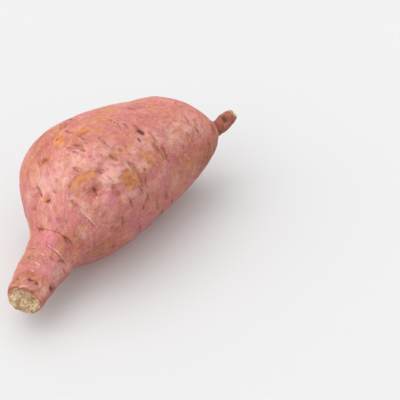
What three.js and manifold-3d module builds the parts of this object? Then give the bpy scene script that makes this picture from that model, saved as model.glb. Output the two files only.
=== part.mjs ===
// A sweet potato, lying on its belly. Millimetres, +Z up, long axis along X, crown at -X, tail at +X.
import * as THREE from 'three';
import { mergeVertices } from 'three/addons/utils/BufferGeometryUtils.js';
import Module from 'manifold-3d';

// The middle line of the root, from the crown scar to the tip of the tail, and how thick it is there.
const stations = [
  { x: -82, y: -19, z: 21.7, radius: 9.4 },     // crown scar
  { x: -68, y: -11, z: 19.2, radius: 11.4 },    // neck
  { x: -53, y: -6, z: 22.7, radius: 14.8 },     // foot of the neck
  { x: -44.5, y: -0.5, z: 29, radius: 22.4 },
  { x: -34, y: 4, z: 34.4, radius: 32.6 },      // shoulder
  { x: -17.5, y: 4.6, z: 37.1, radius: 37.6 },  // belly, where the root is thickest
  { x: 7, y: 5, z: 36, radius: 35.9 },
  { x: 33, y: 4.3, z: 33.9, radius: 32.1 },
  { x: 54.5, y: 0.8, z: 34.6, radius: 26.2 },   // the belly turns in towards the tail
  { x: 65.5, y: -6, z: 36, radius: 17 },
  { x: 70, y: -12.5, z: 36.6, radius: 7 },
  { x: 73, y: -15.6, z: 37.8, radius: 4.6 },    // root of the tail
  { x: 76, y: -17, z: 39.4, radius: 4.7 },
  { x: 80, y: -17.6, z: 41.3, radius: 4.5 },
  { x: 85.3, y: -18.5, z: 42.8, radius: 3.4 },  // cut tip of the tail
];
const restHeight = 0.7;       // height of the flat spot that the root has settled on

// Sections stand across X along the belly, and turn to stand across the middle line in these spans.
const neckTurn = { from: -50, to: -66 };
const tailTurn = { from: 70, to: 79 };

// Rings of the skin. A turn of 0 degrees faces +Y, 90 faces up, 180 faces -Y and 270 faces down.
const ringsPerGap = [9, 10, 9, 8, 7, 8, 8, 7, 5, 4, 3, 3, 3, 4];
const pointsPerRing = 56;
const capRings = 4;

// Slow swells that keep the cross-sections from being round: waves around, waves along, share of radius.
const swells = [
  { around: 2, along: 1.3, start: 0.6, share: 0.007 },
  { around: 3, along: 2.1, start: 2.2, share: 0.008 },
  { around: 5, along: 3.4, start: 4.1, share: 0.005 },
  { around: 4, along: 5.2, start: 1.3, share: 0.004 },
];

// Folds are lines over the skin, as [x of the middle line, turn in degrees]: a negative height is a
// crease and a positive one a ridge.
const folds = [
  { height: -1.7, width: 2.2, line: [[-54, 40], [-52.5, 77], [-51, 104], [-49.5, 133], [-48.5, 172]] },
  { height: -1, width: 1.6, line: [[-58.5, 55], [-56.8, 84], [-56.2, 115], [-55.4, 149], [-55, 172]] },
  { height: -0.8, width: 1.3, line: [[-60, 20], [-60.1, 50], [-60.4, 86]] },
  { height: -0.9, width: 1.3, line: [[-60.5, 150], [-61.5, 168], [-63, 196]] },
  { height: -0.9, width: 1.5, line: [[-49, 205], [-50, 240], [-51.5, 285], [-52.5, 320]] },
  { height: -0.8, width: 1.5, line: [[-66, 262], [-65, 300], [-66.5, 342]] },
  { height: 0.7, width: 1.2, line: [[-78.5, 40], [-79.8, 95], [-79.5, 130], [-78.7, 165]] },
  { height: 0.6, width: 1.2, line: [[-79, 215], [-79.7, 260], [-79, 320]] },
  { height: -0.9, width: 2.2, line: [[-41.8, 124], [-39.6, 143], [-37.6, 157], [-36, 170]] },
  { height: -0.5, width: 2, line: [[-47.5, 37], [-46.8, 52], [-48.2, 66]] },
  { height: -0.7, width: 1.1, line: [[70.5, 60], [71, 130], [70.5, 200], [71, 280]] },
  { height: -0.5, width: 0.9, line: [[73.5, 110], [74, 170], [73.5, 230]] },
  { height: -0.4, width: 0.9, line: [[76, 20], [76, 80], [76.5, 150]] },
  { height: 0.5, width: 1.2, line: [[82.8, 0], [82.8, 90], [82.8, 180], [82.8, 270], [82.8, 360]] },
];

// Valleys are wide shallow folds that run along the root.
const valleys = [
  { height: -0.9, width: 5, line: [[-34.5, 39], [-30, 58], [-22, 65], [-11, 77], [10, 77]] },
  { height: -0.8, width: 6, line: [[-12, 172], [10, 184], [34, 190]] },
  { height: -1, width: 6, line: [[-28, 300], [-4, 312], [22, 318]] },
  { height: -0.8, width: 5, line: [[20, 98], [38, 110], [52, 120]] },
];

// Dents and mounds are round: a positive height stands out, a negative one sinks in.
const mounds = [
  { at: [-53.5, 104], height: 1.1, width: 5 },     // pillow of skin below the shoulder
  { at: [-60, 186], height: 0.9, width: 2.2 },     // knob beside the neck
  { at: [-79, 150], height: -0.8, width: 2 },      // eyes of the neck
  { at: [-77.5, 113], height: -1.1, width: 2.2 },
  { at: [-73, 189], height: -1.1, width: 2.2 },
  { at: [-64, 78], height: -0.8, width: 1.8 },
  { at: [-77.5, 55], height: -0.7, width: 1.8 },
  { at: [-70, 290], height: -0.9, width: 2 },
  { at: [-31, 137], height: -1.5, width: 4.5 },    // dents of the belly
  { at: [-23.5, 129], height: -1.1, width: 4 },
  { at: [-21, 147], height: -1.2, width: 4 },
  { at: [-45, 87], height: -0.8, width: 3 },
  { at: [-43.7, 66], height: -0.8, width: 3.5 },
  { at: [14, 118], height: -1.2, width: 4 },
  { at: [-5, 148], height: -1, width: 5 },
  { at: [19, 141], height: -0.8, width: 5 },
  { at: [-20, 215], height: -1.3, width: 5 },
  { at: [12, 200], height: -1, width: 4.5 },
  { at: [-6, 20], height: -1.4, width: 5 },
  { at: [26, 350], height: -1.2, width: 5 },
  { at: [40, 60], height: -0.9, width: 5 },
  { at: [46, 160], height: -0.8, width: 5 },
  { at: [33, 245], height: -1, width: 4.5 },
  { at: [-32, 330], height: -1.1, width: 4 },
];

// The two cut ends are low rough domes inside a thin rim of dried skin, in mm.
const scar = { rise: 0.6, lumpHeight: 0.6, lumpSize: 5.2, rim: 0.5, rimWidth: 0.16 };
const tailTip = { rise: 0.6, lumpHeight: 0.2, lumpSize: 2.4, rim: 0.2, rimWidth: 0.2 };

const middleLine = new THREE.CatmullRomCurve3(
  stations.map(({ x, y, z }) => new THREE.Vector3(x, y, z)), false, 'catmullrom', 0.5);
const thickness = new THREE.CatmullRomCurve3(
  stations.map(({ radius }) => new THREE.Vector3(radius, 0, 0)), false, 'catmullrom', 0.5);
const up = new THREE.Vector3(0, 0, 1);
const longAxis = new THREE.Vector3(1, 0, 0);
const smooth = THREE.MathUtils.smoothstep;

// The centre and radius of the cross-section at a place along the root, the way that it faces, and
// the two directions that span it.
function section(along) {
  const centre = middleLine.getPoint(along);
  const radius = thickness.getPoint(along).x;
  const upright = smooth(centre.x, neckTurn.to, neckTurn.from)
    * (1 - smooth(centre.x, tailTurn.from, tailTurn.to));
  const facing = middleLine.getTangent(along).lerp(longAxis, upright).normalize();
  const side = new THREE.Vector3().crossVectors(up, facing).normalize();
  const over = new THREE.Vector3().crossVectors(facing, side).normalize();
  return { centre, radius, facing, side, over };
}

function swell(along, turn) {
  const share = (wave) => wave.share * Math.cos(
    wave.around * turn + wave.start + wave.along * 2 * Math.PI * along);
  return 1 + swells.reduce((sum, wave) => sum + share(wave), 0);
}

// A point of the smooth skin; reach is 1 on the skin and less on the two ends.
function skinPoint(along, turn, reach = 1) {
  const { centre, side, over, radius } = section(along);
  const r = radius * swell(along, turn) * reach;
  return centre
    .addScaledVector(side, r * Math.cos(turn))
    .addScaledVector(over, r * Math.sin(turn));
}

// Places are named by the x of the middle line, which grows all the way from crown to tail.
function alongAt(x) {
  let low = 0;
  let high = 1;
  while (high - low > 1e-5) {
    const middle = (low + high) / 2;
    if (middleLine.getPoint(middle).x < x) low = middle;
    else high = middle;
  }
  return low;
}
const skinAt = ([x, degrees]) => skinPoint(alongAt(x), THREE.MathUtils.degToRad(degrees));

// A line across the skin, with points close enough together to follow it round.
function skinLine(places) {
  const steps = 6;
  const points = [];
  for (let i = 0; i + 1 < places.length; i++) {
    for (let k = 0; k < steps; k++) {
      const blend = (a, b) => a + (b - a) * k / steps;
      points.push(skinAt([blend(places[i][0], places[i + 1][0]), blend(places[i][1], places[i + 1][1])]));
    }
  }
  points.push(skinAt(places.at(-1)));
  return points;
}

function distanceToLine(point, line) {
  const nearest = new THREE.Vector3();
  const piece = new THREE.Line3();
  let distance = Infinity;
  for (let i = 0; i + 1 < line.length; i++) {
    piece.set(line[i], line[i + 1]).closestPointToPoint(point, true, nearest);
    distance = Math.min(distance, nearest.distanceTo(point));
  }
  return distance;
}

const bell = (distance, width) => Math.exp(-((distance / width) ** 2));
const foldLines = [...folds, ...valleys].map((fold) => ({ ...fold, points: skinLine(fold.line) }));
const moundPoints = mounds.map((mound) => ({ ...mound, point: skinAt(mound.at) }));

// How far the skin stands out of its smooth form at a point, in mm.
function relief(point) {
  let sum = 0;
  for (const { height, width, points } of foldLines) {
    sum += height * bell(distanceToLine(point, points), width);
  }
  for (const { height, width, point: centre } of moundPoints) {
    sum += height * bell(centre.distanceTo(point), width);
  }
  return sum;
}

// Ragged lumps of dried flesh, as three crossed waves of the given size.
function lumps(point, size) {
  const wave = 2 * Math.PI / size;
  return (Math.sin(wave * point.y + 1.1) + Math.sin(wave * (0.7 * point.y + 0.8 * point.z))
    + Math.sin(wave * (0.9 * point.z - 0.5 * point.y) + 2.3)) / 3;
}

// One end of the root, from its edge to its middle: a low rough dome inside a thin rim.
function endPoint(along, turn, reach, outward, end) {
  const point = skinPoint(along, turn, reach);
  const dome = end.rise * (1 - reach ** 2);
  const rough = end.lumpHeight * lumps(point, end.lumpSize) * (1 - reach ** 6);
  const rim = end.rim * bell(reach - 1, end.rimWidth);
  return point.addScaledVector(section(along).facing, outward * (dome + rough + rim));
}

// The closed skin: rings of points from the crown to the tail, and a cap over each end.
function buildSkin() {
  const turns = Array.from({ length: pointsPerRing }, (_, k) => 2 * Math.PI * k / pointsPerRing);
  const rings = [];
  const capReach = (k) => 1 - k / capRings;
  for (let k = capRings - 1; k > 0; k--) {
    rings.push(turns.map((turn) => endPoint(0, turn, capReach(k), -1, scar)));
  }
  const skinStart = rings.length;
  const gaps = ringsPerGap.length;
  ringsPerGap.forEach((count, gap) => {
    for (let k = 0; k < count; k++) {
      rings.push(turns.map((turn) => skinPoint((gap + k / count) / gaps, turn)));
    }
  });
  rings.push(turns.map((turn) => skinPoint(1, turn)));
  const skinEnd = rings.length;
  for (let k = 1; k < capRings; k++) {
    rings.push(turns.map((turn) => endPoint(1, turn, capReach(k), 1, tailTip)));
  }

  const points = rings.flat();
  const crown = points.push(endPoint(0, 0, 0, -1, scar)) - 1;
  const tip = points.push(endPoint(1, 0, 0, 1, tailTip)) - 1;
  const faces = [];
  const at = (ring, k) => ring * pointsPerRing + (k % pointsPerRing);
  for (let k = 0; k < pointsPerRing; k++) {
    faces.push(crown, at(0, k + 1), at(0, k));
    for (let ring = 0; ring + 1 < rings.length; ring++) {
      faces.push(at(ring, k), at(ring, k + 1), at(ring + 1, k));
      faces.push(at(ring, k + 1), at(ring + 1, k + 1), at(ring + 1, k));
    }
    faces.push(tip, at(rings.length - 1, k), at(rings.length - 1, k + 1));
  }

  const geometry = new THREE.BufferGeometry().setFromPoints(points);
  geometry.setIndex(faces);
  geometry.computeVertexNormals();
  const position = geometry.getAttribute('position');
  const normal = geometry.getAttribute('normal');
  const point = new THREE.Vector3();
  const outward = new THREE.Vector3();
  for (let i = skinStart * pointsPerRing; i < skinEnd * pointsPerRing; i++) {
    point.fromBufferAttribute(position, i);
    outward.fromBufferAttribute(normal, i);
    point.addScaledVector(outward, relief(point));
    position.setXYZ(i, point.x, point.y, point.z);
  }
  return geometry;
}

const wasm = await Module();
wasm.setup();

function toSolid(geometry) {
  geometry.deleteAttribute('normal');
  geometry.deleteAttribute('uv');
  const merged = mergeVertices(geometry, 1e-4);
  const vertProperties = new Float32Array(merged.getAttribute('position').array);
  const triVerts = new Uint32Array(merged.index.array);
  return new wasm.Manifold(new wasm.Mesh({ numProp: 3, vertProperties, triVerts }));
}

function toGeometry(solid) {
  const mesh = solid.getMesh();
  const geometry = new THREE.BufferGeometry();
  geometry.setAttribute('position', new THREE.BufferAttribute(mesh.vertProperties, 3));
  geometry.setIndex(new THREE.BufferAttribute(mesh.triVerts, 1));
  return geometry;
}

// The underside is pressed flat where the root lies on it.
function flattenUnderside(geometry) {
  const size = 300;
  const ground = new THREE.BoxGeometry(size, size, size).translate(0, 0, restHeight - size / 2);
  return toGeometry(toSolid(geometry).subtract(toSolid(ground)));
}

const geometry = flattenUnderside(buildSkin());
geometry.computeBoundingBox();
const middle = geometry.boundingBox.getCenter(new THREE.Vector3());
geometry.translate(-middle.x, -middle.y, -geometry.boundingBox.min.z);
geometry.computeVertexNormals();

const skin = new THREE.MeshStandardMaterial({ color: '#cf8579', roughness: 0.55, metalness: 0 });
const sweetPotato = new THREE.Mesh(geometry, skin);
sweetPotato.name = 'sweet_potato';

const group = new THREE.Group();
group.add(sweetPotato);

export default group;
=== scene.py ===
# A sweet potato on a pale floor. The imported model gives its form, and this script gives it its skin.
import math
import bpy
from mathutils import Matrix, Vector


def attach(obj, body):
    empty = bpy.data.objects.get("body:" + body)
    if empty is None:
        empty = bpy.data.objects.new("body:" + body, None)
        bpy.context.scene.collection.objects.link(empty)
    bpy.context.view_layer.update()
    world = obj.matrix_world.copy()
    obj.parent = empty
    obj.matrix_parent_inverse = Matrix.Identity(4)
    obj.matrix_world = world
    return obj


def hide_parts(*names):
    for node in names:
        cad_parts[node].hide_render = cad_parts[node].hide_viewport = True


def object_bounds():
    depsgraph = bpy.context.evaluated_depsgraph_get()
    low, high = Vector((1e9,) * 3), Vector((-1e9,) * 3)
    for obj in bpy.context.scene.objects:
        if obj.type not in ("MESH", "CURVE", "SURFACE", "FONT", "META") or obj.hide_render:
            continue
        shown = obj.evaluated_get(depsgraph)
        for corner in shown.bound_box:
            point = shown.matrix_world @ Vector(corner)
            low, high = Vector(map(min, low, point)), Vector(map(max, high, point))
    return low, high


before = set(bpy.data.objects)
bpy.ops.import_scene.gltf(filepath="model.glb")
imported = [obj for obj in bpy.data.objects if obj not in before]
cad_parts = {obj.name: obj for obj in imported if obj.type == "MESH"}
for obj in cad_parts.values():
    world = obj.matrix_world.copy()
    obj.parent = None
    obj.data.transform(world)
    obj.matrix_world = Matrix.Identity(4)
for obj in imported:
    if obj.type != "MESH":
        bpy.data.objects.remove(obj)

from types import SimpleNamespace
import bpy
import numpy as np
from mathutils import Vector
from mathutils.bvhtree import BVHTree

mm = 0.001
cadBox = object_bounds()
cadLow = np.array(cadBox[0]) / mm
cadHigh = np.array(cadBox[1]) / mm


# Camera: it stands where the photograph was taken from. Lengths are in mm, angles in degrees.
cameraSettings = {
    "aim": (27.8, -46.3, 25.3),
    "azimuth": -50.46,
    "elevation": 40,
    "distance": 481.7,
    "fieldOfView": 26,
    "pictureSide": 400,                     # pixels
    "hiddenDisc": (188, 238, 77),           # pixels: middle and radius of the part that isn't shown
}


def backFrom(azimuth, elevation):
    turn = math.radians(azimuth)
    lift = math.radians(elevation)
    return Vector((math.sin(turn) * math.cos(lift), -math.cos(turn) * math.cos(lift), math.sin(lift)))


def addCamera(settings):
    camera = bpy.data.objects.new("photoCamera", bpy.data.cameras.new("photoCamera"))
    bpy.context.scene.collection.objects.link(camera)
    back = backFrom(settings["azimuth"], settings["elevation"])
    camera.location = (Vector(settings["aim"]) + back * settings["distance"]) * mm
    camera.rotation_euler = back.to_track_quat("Z", "Y").to_euler()
    camera.data.angle = math.radians(settings["fieldOfView"])
    bpy.context.scene.camera = camera
    bpy.context.view_layer.update()
    return camera


def pictureScale(settings):
    # Half the picture's side, and its distance from the camera, both in pixels.
    half = settings["pictureSide"] / 2
    return half, half / math.tan(math.radians(settings["fieldOfView"] / 2))


camera = addCamera(cameraSettings)
print("camera ready")


# Form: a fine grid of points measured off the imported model, along the middle line of the root.
formSettings = {
    "around": 280,              # points in a ring
    "neckStep": 0.7,            # mm between rings
    "bellyStep": 0.6,
    "tailStep": 0.42,
    "neckEnd": -46,             # x where the steps change, in mm
    "tailStart": 66,
    "slices": 44,               # upright slices that find the middle line
    "sliceRays": 24,            # rays in each, and how often its middle is found anew
    "sliceTries": 4,
    "linePlaces": 4000,         # places on the line that the steps are counted over
    "softenLine": 5,
    "crownMargin": 12,          # mm of each end where the middle line runs on straight
    "tailMargin": 5,
    "neckTurn": (-66, -50),     # rings stand upright between these spans of x, and square to the line beyond
    "tailTurn": (70, 79),
    "crownInset": 1.6,          # mm inside the cut ends where the end rings are measured
    "tailInset": 0.8,
    "softenAlong": 2.2,         # rings and points over which the model's facets are smoothed away
    "softenAround": 3.0,
    "capRings": 15,
    "capSoften": 3,
    "capReach": 4,              # mm inside the cut ends where the rays over them start
    "capSwell": 2,              # mm that a cut end may stand out or in
    "rimRound": 1.1,            # mm over which the rims of the cut ends are rounded
}
cadTree = BVHTree.FromObject(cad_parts["sweet_potato"], bpy.context.evaluated_depsgraph_get())


def smoothStep(low, high, x):
    t = np.clip((x - low) / (high - low), 0, 1)
    return t * t * (3 - 2 * t)


def unit(v):
    return v / np.linalg.norm(v, axis=-1, keepdims=True)


def fullTurn(count):
    return np.arange(count) / count * 2 * math.pi


def castOut(start, direction):
    # How far the model's skin is from a point inside it, in mm.
    hit = cadTree.ray_cast(Vector(start) * mm, Vector(direction))
    return hit[3] / mm if hit[0] is not None else 0.0


def soften(values, width, wrap=False):
    # Gaussian smoothing along the first axis.
    reach = int(math.ceil(width * 3))
    weights = np.exp(-0.5 * (np.arange(-reach, reach + 1) / width) ** 2)
    weights /= weights.sum()
    pad = [(reach, reach)] + [(0, 0)] * (values.ndim - 1)
    how = {"mode": "wrap"} if wrap else {"mode": "reflect", "reflect_type": "odd"}
    padded = np.pad(values, pad, **how)
    return sum(w * padded[i:i + len(values)] for i, w in enumerate(weights))


def findMiddleLine(settings):
    # The middle of each upright slice, followed from the belly out to both ends.
    turns = fullTurn(settings["sliceRays"])
    out = np.stack([0 * turns, np.cos(turns), np.sin(turns)], axis=1)
    reach = np.linspace(cadLow[0] + settings["crownMargin"], cadHigh[0] - settings["tailMargin"],
                        settings["slices"])
    belly = int(np.abs(reach).argmin())
    line = np.zeros((len(reach), 3))
    for order in (range(belly, -1, -1), range(belly, len(reach))):
        middle = (cadLow + cadHigh) / 2
        for i in order:
            middle = np.array([reach[i], middle[1], middle[2]])
            for _ in range(settings["sliceTries"]):
                rim = middle + out * np.array([castOut(middle, o) for o in out])[:, None]
                share = np.linalg.norm(np.roll(rim, -1, axis=0) - np.roll(rim, 1, axis=0), axis=1)
                middle = (rim * share[:, None]).sum(0) / share.sum()
            line[i] = middle
    ends = []
    for tip, inner in ((line[0], line[3]), (line[-1], line[-3])):
        way = unit(tip - inner)
        ends.append(tip + way * castOut(tip, way))
    return np.vstack([ends[0], line, ends[1]])


def spaceRings(line, settings):
    # Places along the line, closer together where the root is thin.
    lengths = np.concatenate([[0], np.cumsum(np.linalg.norm(np.diff(line, axis=0), axis=1))])
    fine = np.linspace(0, lengths[-1], settings["linePlaces"])
    x = np.interp(fine, lengths, line[:, 0])
    steps = np.full(len(x), settings["bellyStep"], dtype=float)
    steps[x < settings["neckEnd"]] = settings["neckStep"]
    steps[x > settings["tailStart"]] = settings["tailStep"]
    count = np.concatenate([[0], np.cumsum(np.diff(fine) / steps[1:])])
    along = np.interp(np.linspace(0, count[-1], int(round(count[-1]))), count, fine)
    places = np.stack([np.interp(along, lengths, line[:, k]) for k in range(3)], axis=1)
    return soften(places, settings["softenLine"]), along


def capRows(centre, way, rim, radii, settings):
    # Rows over a cut end, from its rim inwards: rays along the root find how high the end stands there.
    shares = 1 - (np.arange(settings["capRings"]) + 0.6) / (settings["capRings"] + 0.2)
    flats = [centre + rim * (radii * share)[:, None] for share in shares]
    inside, swell = settings["capReach"], settings["capSwell"]
    heights = [[castOut(p - way * inside, way) - inside for p in flat] for flat in flats]
    heights = soften(np.clip(heights, -swell, swell).T, settings["capSoften"], wrap=True).T
    return [flat + way * height[:, None] for flat, height in zip(flats, heights)], shares


def measureForm(settings):
    places, along = spaceRings(findMiddleLine(settings), settings)
    upright = smoothStep(*settings["neckTurn"], places[:, 0])
    upright = upright * (1 - smoothStep(*settings["tailTurn"], places[:, 0]))
    facing = unit(unit(np.gradient(places, axis=0)) * (1 - upright[:, None])
                  + np.array([1.0, 0, 0]) * upright[:, None])
    side = unit(np.cross((0, 0, 1), facing))
    over = np.cross(facing, side)
    turns = fullTurn(settings["around"])
    out = side[:, None] * np.cos(turns)[None, :, None] + over[:, None] * np.sin(turns)[None, :, None]
    starts = places.copy()
    starts[0] += facing[0] * settings["crownInset"]
    starts[-1] -= facing[-1] * settings["tailInset"]
    radii = np.array([[castOut(s, o) for o in ring] for s, ring in zip(starts, out)])
    radii = soften(soften(radii, settings["softenAlong"]).T, settings["softenAround"], wrap=True).T
    fromEnd = np.minimum(along, along[-1] - along)
    rounded = np.clip(1 - fromEnd / settings["rimRound"], 0, 1) ** 2
    radii = radii - 0.5 * settings["rimRound"] * rounded[:, None]
    rings = places[:, None] + out * radii[..., None]
    crown, crownShares = capRows(places[0], -facing[0], out[0], radii[0], settings)
    tail, tailShares = capRows(places[-1], facing[-1], out[-1], radii[-1], settings)
    crossing = np.stack([np.cos(turns), np.sin(turns)], axis=1)
    place = np.concatenate([np.repeat(along[:, None, None], len(turns), axis=1),
                            radii[..., None] * crossing[None]], axis=2)
    crownPlace = [np.column_stack([0 * turns, radii[0][:, None] * s * crossing]) for s in crownShares]
    tailPlace = [np.column_stack([0 * turns + along[-1], radii[-1][:, None] * s * crossing])
                 for s in tailShares]
    return {
        "grid": np.array(crown[::-1] + list(rings) + tail),                 # mm
        "place": np.array(crownPlace[::-1] + list(place) + tailPlace),      # mm along the root and across it
        "first": len(crown), "last": len(crown) + len(rings) - 1,           # the rows by the two rims
        "length": along[-1],
    }


form = measureForm(formSettings)
rowCount, around = form["grid"].shape[:2]
points = form["grid"].reshape(-1, 3)            # mm
grown = form["place"].reshape(-1, 3)            # mm along the root, and across it both ways
print("form measured:", rowCount, "rows of", around, "points")


# Noise in plain numbers, the same at each run.
def softNoise(where, size, seed):
    # Smooth noise from -1 to 1 whose lumps are about as wide as size, in mm.
    cells = 32
    table = np.random.default_rng(seed).uniform(-1, 1, (cells, cells, cells))
    scaled = where / np.array(size)
    low = np.floor(scaled).astype(int)
    t = scaled - low
    t = t * t * (3 - 2 * t)
    total = 0
    for corner in np.ndindex(2, 2, 2):
        index = (low + corner) % cells
        weight = np.prod(np.where(corner, t, 1 - t), axis=-1)
        total = total + weight * table[index[..., 0], index[..., 1], index[..., 2]]
    return total


def layeredNoise(where, size, seed, layers=3):
    size = np.array(size, dtype=float)
    return sum(softNoise(where, size / 2 ** k, seed + k) * 0.5 ** k for k in range(layers))


# The skin's relief, in mm, and the distances that the finish reads: mm from the edge of the nearest mark.
farAway = 6
relief = np.zeros(len(points))
edges = {name: np.full(len(points), float(farAway)) for name in ("slot", "pit", "rub", "scar", "crease")}


def quad(row, k):
    # The points round one field of the grid.
    low, high, n = row * around, (row + 1) * around, (k + 1) % around
    return low + k, low + n, high + n, high + k


quads = [quad(row, k) for row in range(rowCount - 1) for k in range(around)]
skinTree = BVHTree.FromPolygons([Vector(p) for p in points], quads)


def gridNormals(grid):
    # Which way the skin faces at each point of the grid.
    alongStep = np.gradient(grid, axis=0)
    aroundStep = np.roll(grid, -1, axis=1) - np.roll(grid, 1, axis=1)
    return unit(np.cross(aroundStep, alongStep))


normals = gridNormals(form["grid"]).reshape(-1, 3)


def skinAtPixel(u, v):
    # The point of the skin that a pixel of the photograph shows, in mm, or None outside its outline.
    half, depth = pictureScale(cameraSettings)
    ray = camera.matrix_world.to_3x3() @ Vector((u - half, half - v, -depth))
    hit = skinTree.ray_cast(camera.location / mm, ray)
    return np.array(hit[0]) if hit[0] is not None else None


def findUnseen(tilt=0.15):
    # The skin that the photograph doesn't show: turned away from the camera, or behind something.
    local = np.column_stack([points * mm, np.ones(len(points))]) @ np.array(camera.matrix_world.inverted()).T
    half, depth = pictureScale(cameraSettings)
    u = half - depth * local[:, 0] / local[:, 2]
    v = half + depth * local[:, 1] / local[:, 2]
    discU, discV, discRadius = cameraSettings["hiddenDisc"]
    away = unit(np.array(camera.location) / mm - points)
    return ((normals * away).sum(1) < tilt) | (np.hypot(u - discU, v - discV) < discRadius)


unseen = findUnseen()


def lineOverSkin(pixels, step=2.5):
    # The points of the skin under a line through pixels of the photograph, a few pixels apart.
    found = []
    for (u0, v0), (u1, v1) in zip(pixels[:-1], pixels[1:]):
        count = max(1, int(math.hypot(u1 - u0, v1 - v0) / step))
        found += [skinAtPixel(u0 + (u1 - u0) * k / count, v0 + (v1 - v0) * k / count) for k in range(count)]
    found.append(skinAtPixel(*pixels[-1]))
    return np.array([p for p in found if p is not None])


def measureFrom(line):
    # The skin points near a line over the skin, how far they are from it in mm, and their share along it.
    middle = line.mean(0)
    reach = np.linalg.norm(line - middle, axis=1).max() + farAway
    near = np.flatnonzero(((points - middle) ** 2).sum(1) < reach ** 2)
    away = np.linalg.norm(points[near] - line[0], axis=1)
    share = np.full(len(near), 0.5)
    for i, (a, b) in enumerate(zip(line[:-1], line[1:])):
        step = b - a
        t = np.clip((points[near] - a) @ step / max(step @ step, 1e-9), 0, 1)
        here = np.linalg.norm(points[near] - a - t[:, None] * step, axis=1)
        share = np.where(here <= away, (i + t) / (len(line) - 1), share)
        away = np.minimum(here, away)
    return near, away, share


def bell(away, width):
    return np.exp(-(away / width) ** 2)


def mark(kind, near, away):
    edges[kind][near] = np.minimum(edges[kind][near], away)


def swell(near, away, wide, height):
    # A soft ridge where the distance is 0, or a groove where the height is below 0.
    relief[near] += height * bell(away, wide)


def roundEnds(share, least):
    return np.sqrt(np.clip(1 - (2 * share - 1) ** 4, least, 1))


def pointedEnds(share, least):
    return np.sin(math.pi * np.clip(share, least, 1 - least))


# Each kind of mark takes a line over the skin, its half width and its depth, in mm.
thinnest = 0.15                 # the least half width that a ridge or furrow is made with


def cutSlot(line, wide, deep):
    # A groove with a low rim round it.
    near, away, share = measureFrom(line)
    taper = roundEnds(share, 0.2)
    swell(near, away, wide * 1.1, -1.3 * deep * taper)
    swell(near, away - wide * 1.9, wide * 0.8, 0.6 * deep * taper)
    mark("slot", near, away - wide * taper * 0.8)


def sinkPit(line, wide, deep):
    # A round hole, with a soft ring of painted shade on its rim.
    near, away, _ = measureFrom(line)
    swell(near, away, wide * 1.2, -deep)
    swell(near, away - wide * 2.1, wide, 0.25 * deep)
    mark("pit", near, away - wide * 0.7)
    mark("crease", near, away - wide * 0.9 + 0.15)


def sinkEye(line, wide, deep):
    # An uneven ring-shaped groove round a corky middle, with painted shade in the groove.
    near, away, _ = measureFrom(line)
    away = away + 0.35 * layeredNoise(points[near], 1.8, 15, 2)
    swell(near, away - wide * 1.8, wide, 0.4 * deep)
    swell(near, away - wide * 0.6, wide * 0.7, -deep)
    mark("slot", near, away - wide * 0.7)
    mark("crease", near, np.abs(away - wide * 0.8) + 0.08)


def rubSkin(line, wide, deep):
    # A patch where the outer skin is rubbed off, with an uneven edge that stands up a little.
    near, away, share = measureFrom(line)
    edge = away - wide * roundEnds(share, 0.15) + 0.7 * layeredNoise(points[near], 3.2, 11, 3)
    relief[near] -= deep * (1 - smoothStep(-0.5, 0.3, edge))
    swell(near, edge - 0.5, 0.6, 0.5 * deep)
    mark("rub", near, edge)


def raiseScar(line, wide, deep):
    # A thin pale ridge.
    near, away, share = measureFrom(line)
    taper = pointedEnds(share, 0.05)
    swell(near, away, max(wide, thinnest) * 1.6, deep * taper)
    mark("scar", near, away - wide * taper)


def foldSkin(line, wide, deep):
    # A thin furrow, darkened with painted shade.
    near, away, share = measureFrom(line)
    taper = pointedEnds(share, 0.06) ** 0.5
    swell(near, away, max(wide, thinnest) * 1.7, -deep * taper)
    mark("crease", near, away - wide * taper)


def pressSkin(line, wide, deep):
    # A soft hollow, or a low mound where the depth is below 0.
    near, away, _ = measureFrom(line)
    swell(near, away, wide, -deep)


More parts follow.
